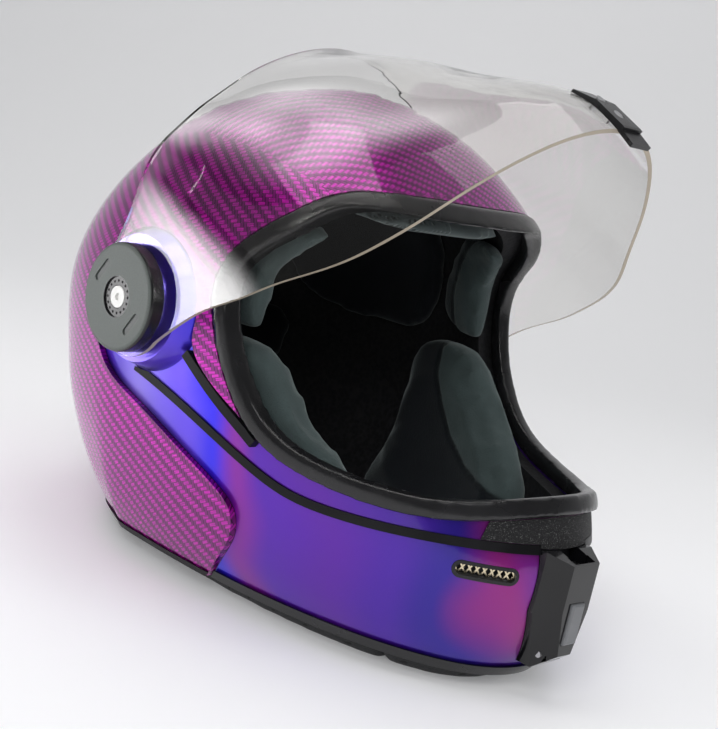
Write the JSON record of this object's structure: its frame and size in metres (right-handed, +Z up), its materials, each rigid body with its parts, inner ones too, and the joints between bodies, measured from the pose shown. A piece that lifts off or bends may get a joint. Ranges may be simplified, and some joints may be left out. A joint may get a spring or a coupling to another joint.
{
  "type": "full-face skydiving helmet",
  "caption": "Full-face skydiving helmet with a clear visor that swings up on side pivots, a painted chin guard, carbon shell, chin latch with push button, vents, pads and collar.",
  "frame": {"origin": "below the middle of the helmet's bounding box, on the flat underside of the neck roll", "axes": "+X to the wearer's left, +Y to the rear, +Z up"},
  "size_m": [0.2508, 0.3391, 0.2659],
  "materials": {
    "carbon": "clear gloss over twill carbon",
    "paint": "glossy iridescent violet paint",
    "rubber": "matt black",
    "gasket_rubber": "satin charcoal",
    "strip": "black, finely speckled",
    "foam": "black expanded foam",
    "pad": "grey-green knitted cloth over foam",
    "collar": "black perforated imitation leather",
    "webbing": "black webbing",
    "visor_sheet": "clear, polished",
    "black_plastic": "moulded, fine grain",
    "gloss_black": "gloss black",
    "cover": "mid grey, matt",
    "button": "mid grey, satin",
    "white_plastic": "white, satin",
    "bush": "natural acetal",
    "steel": "bright steel",
    "mesh": "pale gold expanded mesh"
  },
  "bodies": {
    "helmet": {"outer_shell": "carbon", "chin_guard": "paint", "eye_port_gasket": "gasket_rubber", "chin_strip": "strip", "lower_trim_front": "rubber", "lower_trim_rear": "rubber", "skull_liner": "foam", "chin_liner": "foam", "crown_pad": "pad", "nape_pad": "pad", "brow_pad": "pad", "neck_roll": "collar", "chin_curtain": "collar", "latch_housing": "gloss_black", "latch_pin": "steel", "latch_spring": "steel", "visor_seal_right": "rubber", "guard_line_trim_right": "rubber", "cheek_pad_right": "pad", "temple_pad_right": "pad", "side_pad_right": "pad", "chin_strap_right": "webbing", "pivot_screw_right": "white_plastic", "pivot_bush_right": "bush", "base_plate_right": "steel", "base_plate_screws_right": "steel", "vent_frame_right": "black_plastic", "vent_mesh_right": "mesh", "visor_seal_left": "rubber", "guard_line_trim_left": "rubber", "cheek_pad_left": "pad", "temple_pad_left": "pad", "side_pad_left": "pad", "chin_strap_left": "webbing", "pivot_screw_left": "white_plastic", "pivot_bush_left": "bush", "base_plate_left": "steel", "base_plate_screws_left": "steel", "vent_frame_left": "black_plastic", "vent_mesh_left": "mesh"},
    "visor_assembly": {"visor": "visor_sheet", "visor_tab": "black_plastic", "tab_screws": "steel", "pivot_cover_right": "cover", "pivot_cover_left": "cover"},
    "button": {"latch_button": "button"},
    "hook": {"latch_hook": "steel"}
  },
  "joints": [
    {"name": "visor_hinge", "type": "hinge", "parent": "helmet", "child": "visor_assembly", "pos_m": [0, 0.02855, 0.132], "axis": [1, 0, 0], "range_deg": [0, 54]},
    {"name": "latch_button_slide", "type": "slide", "parent": "helmet", "child": "button", "axis": [0, 1, 0], "range_m": [0, 0.0018], "stiffness_N_per_m": 800},
    {"name": "latch_hook_turn", "type": "hinge", "parent": "helmet", "child": "hook", "pos_m": [0, -0.16045, 0.025], "axis": [-1, 0, 0], "range_deg": [0, 6.26]}
  ],
  "couplings": [
    {"joint": "latch_hook_turn", "follows": "latch_button_slide", "rad_per_m": 60.7}
  ]
}
